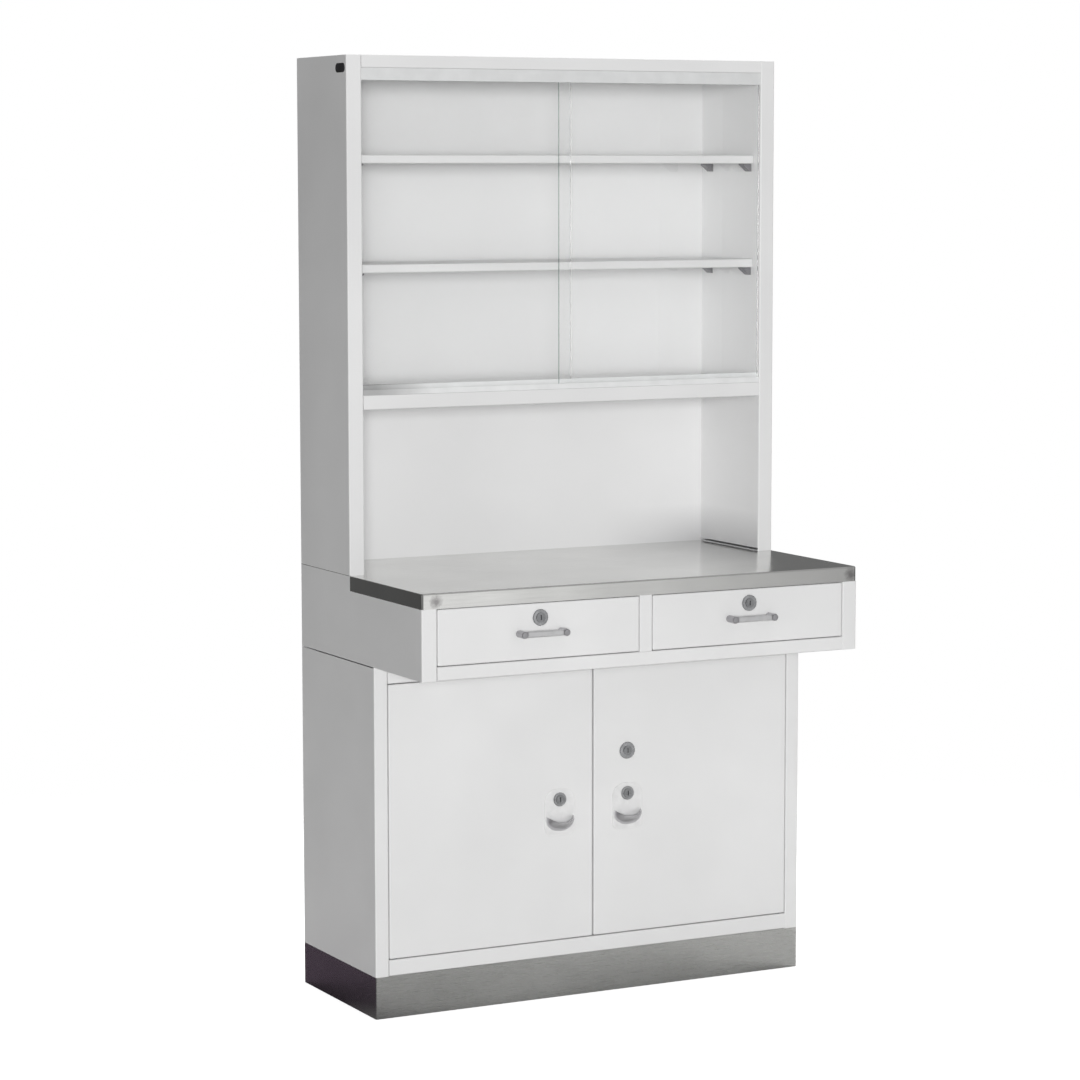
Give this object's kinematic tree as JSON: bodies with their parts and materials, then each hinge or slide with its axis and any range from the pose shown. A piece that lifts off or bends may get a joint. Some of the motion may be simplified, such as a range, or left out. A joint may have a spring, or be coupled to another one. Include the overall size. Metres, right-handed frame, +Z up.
{
  "type": "medical cabinet",
  "caption": "Free-standing white steel medical cabinet: glazed sliding-door case over an open niche, a deep stainless worktop with drawers, and a cupboard on a stainless plinth.",
  "frame": {"origin": "on the floor, in the middle of the box round the whole cabinet", "axes": "+Z up, +X to the right as seen from the front, the front with doors, drawers and glass faces -Y"},
  "size_m": [0.9, 0.555, 1.75],
  "materials": {
    "white_enamel": "white baked enamel, semi-gloss",
    "stainless_sheet": "bright satin stainless sheet",
    "board": "raw particle board",
    "zinc_plated_steel": "zinc plated",
    "lock_cams": "zinc plated",
    "chrome_cases": "polished chrome",
    "chrome_cores": "polished chrome",
    "satin_chrome": "satin chrome",
    "track": "pale grey moulded track",
    "shelf_clip": "pale grey moulded clip",
    "clear_glass": "clear float glass with ground edges",
    "dark_plugs": "dark matt plastic"
  },
  "bodies": {
    "cabinet": {"plinth_skirt": "stainless_sheet", "base_side_left": "white_enamel", "base_side_right": "white_enamel", "base_back": "white_enamel", "base_floor": "white_enamel", "base_top_rail": "white_enamel", "door_centre_post": "white_enamel", "base_shelf": "white_enamel", "hinge_pins": "zinc_plated_steel", "drawer_unit_side_left": "white_enamel", "drawer_unit_side_right": "white_enamel", "drawer_unit_back": "white_enamel", "drawer_unit_floor": "white_enamel", "drawer_unit_top_rail": "white_enamel", "drawer_partition": "white_enamel", "drawer_runners": "zinc_plated_steel", "worktop_skin": "stainless_sheet", "worktop_board": "board", "upper_side_left": "white_enamel", "upper_side_right": "white_enamel", "upper_back": "white_enamel", "upper_top": "white_enamel", "case_floor": "white_enamel", "shelf_upper": "white_enamel", "shelf_lower": "white_enamel", "shelf_clips": "shelf_clip", "glass_track_top": "track", "glass_track_bottom": "track", "side_plugs": "dark_plugs", "module_bolts": "zinc_plated_steel"},
    "left_door": {"left_door_shell": "white_enamel", "left_door_liner": "white_enamel", "left_cup_pull": "satin_chrome", "left_pull_lock_case": "chrome_cases"},
    "right_door": {"right_door_shell": "white_enamel", "right_door_liner": "white_enamel", "right_cup_pull": "satin_chrome", "right_pull_lock_case": "chrome_cases", "door_lock_case": "chrome_cases"},
    "left_drawer": {"left_drawer_front": "white_enamel", "left_drawer_tray": "white_enamel", "left_drawer_pull": "satin_chrome", "left_drawer_lock_case": "chrome_cases"},
    "right_drawer": {"right_drawer_front": "white_enamel", "right_drawer_tray": "white_enamel", "right_drawer_pull": "satin_chrome", "right_drawer_lock_case": "chrome_cases"},
    "left_glass": {"left_glass_door": "clear_glass"},
    "right_glass": {"right_glass_door": "clear_glass"},
    "left_pull_lock": {"left_pull_lock_core": "chrome_cores", "left_pull_lock_cam": "lock_cams"},
    "right_pull_lock": {"right_pull_lock_core": "chrome_cores", "right_pull_lock_cam": "lock_cams"},
    "door_lock": {"door_lock_core": "chrome_cores", "door_lock_cam": "lock_cams"},
    "left_drawer_lock": {"left_drawer_lock_core": "chrome_cores", "left_drawer_lock_cam": "lock_cams"},
    "right_drawer_lock": {"right_drawer_lock_core": "chrome_cores", "right_drawer_lock_cam": "lock_cams"}
  },
  "joints": [
    {"name": "left_door_swing", "type": "hinge", "parent": "cabinet", "child": "left_door", "pos_m": [-0.4095, -0.0435, 0.363], "axis": [0, 0, -1], "range_deg": [0, 105]},
    {"name": "right_door_swing", "type": "hinge", "parent": "cabinet", "child": "right_door", "pos_m": [0.4095, -0.0435, 0.363], "axis": [0, 0, 1], "range_deg": [0, 105]},
    {"name": "left_drawer_slide", "type": "slide", "parent": "cabinet", "child": "left_drawer", "axis": [0, -1, 0], "range_m": [0, 0.32]},
    {"name": "right_drawer_slide", "type": "slide", "parent": "cabinet", "child": "right_drawer", "axis": [0, -1, 0], "range_m": [0, 0.32]},
    {"name": "left_glass_slide", "type": "slide", "parent": "cabinet", "child": "left_glass", "axis": [1, 0, 0], "range_m": [0, 0.4]},
    {"name": "right_glass_slide", "type": "slide", "parent": "cabinet", "child": "right_glass", "axis": [-1, 0, 0], "range_m": [0, 0.4]},
    {"name": "left_pull_lock_turn", "type": "hinge", "parent": "left_door", "child": "left_pull_lock", "pos_m": [-0.072, -0.0425, 0.376], "axis": [0, -1, 0], "range_deg": [0, 90]},
    {"name": "right_pull_lock_turn", "type": "hinge", "parent": "right_door", "child": "right_pull_lock", "pos_m": [0.072, -0.0425, 0.376], "axis": [0, 1, 0], "range_deg": [0, 90]},
    {"name": "door_lock_turn", "type": "hinge", "parent": "right_door", "child": "door_lock", "pos_m": [0.072, -0.0425, 0.457], "axis": [0, 1, 0], "range_deg": [0, 90]},
    {"name": "left_drawer_lock_turn", "type": "hinge", "parent": "left_drawer", "child": "left_drawer_lock", "pos_m": [-0.2165, -0.2425, 0.751], "axis": [0, -1, 0], "range_deg": [0, 90]},
    {"name": "right_drawer_lock_turn", "type": "hinge", "parent": "right_drawer", "child": "right_drawer_lock", "pos_m": [0.2165, -0.2425, 0.751], "axis": [0, -1, 0], "range_deg": [0, 90]}
  ]
}
